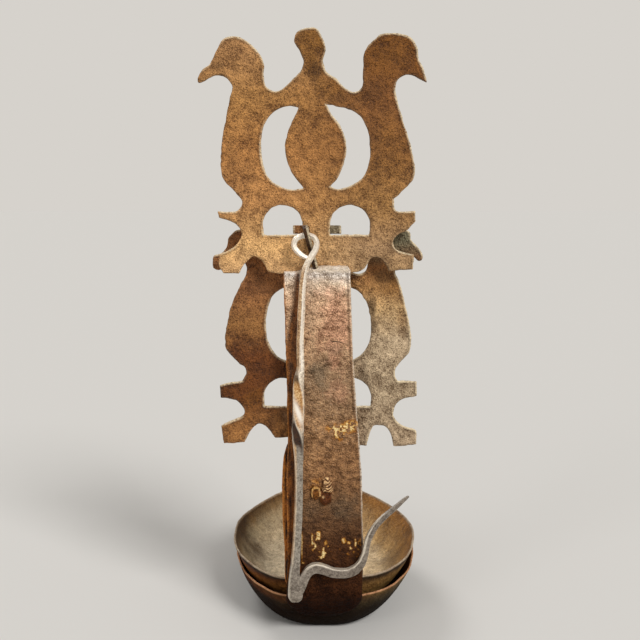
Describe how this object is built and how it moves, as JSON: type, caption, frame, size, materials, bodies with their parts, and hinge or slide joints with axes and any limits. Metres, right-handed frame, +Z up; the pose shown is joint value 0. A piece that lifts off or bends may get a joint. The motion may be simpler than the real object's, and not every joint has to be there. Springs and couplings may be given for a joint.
{
  "type": "double crusie lamp",
  "caption": "Double crusie oil lamp: nested open iron pans on straps topped by cut-out bird plates, a notched arm for the inner pan and a twisted swinging hanger with a hook.",
  "frame": {"origin": "middle of the outer pan's flat foot, on the table", "axes": "+Z up through the lamp, +Y towards the spouts, -Y the back where the hanger hangs, +X the side the hook points to"},
  "size_m": [0.0962, 0.1672, 0.2642],
  "materials": {
    "outer_pan_iron": "oil-blackened wrought iron, worn at the rim",
    "inner_pan_iron": "wrought iron with a dry golden-tan oil film inside",
    "outer_strap_iron": "grey-brown wrought iron with brass flecks",
    "inner_strap_iron": "dark brown wrought iron",
    "upper_plate_iron": "rust-brown granular iron sheet",
    "lower_plate_iron": "rust-brown and greyish iron sheet",
    "ratchet_arm_iron": "brown iron bar with brassy peened end",
    "hanging_link_iron": "dark iron strip",
    "hanger_steel": "rubbed bright square iron bar"
  },
  "bodies": {
    "outer_unit": {"outer_pan": "outer_pan_iron", "outer_strap": "outer_strap_iron", "upper_bird_plate": "upper_plate_iron", "ratchet_arm": "ratchet_arm_iron", "hanging_link": "hanging_link_iron"},
    "inner_unit": {"inner_pan": "inner_pan_iron", "inner_strap": "inner_strap_iron", "lower_bird_plate": "lower_plate_iron"},
    "hanger": {"hanger": "hanger_steel"}
  },
  "joints": [
    {"name": "inner_unit_lift", "type": "slide", "parent": "outer_unit", "child": "inner_unit", "axis": [0, 0, 1], "range_m": [0, 0.008]},
    {"name": "hanger_swing", "type": "hinge", "parent": "outer_unit", "child": "hanger", "pos_m": [-0.0077, -0.06345, 0.1798], "axis": [-1, 0, 0], "range_deg": [0, 180]}
  ]
}
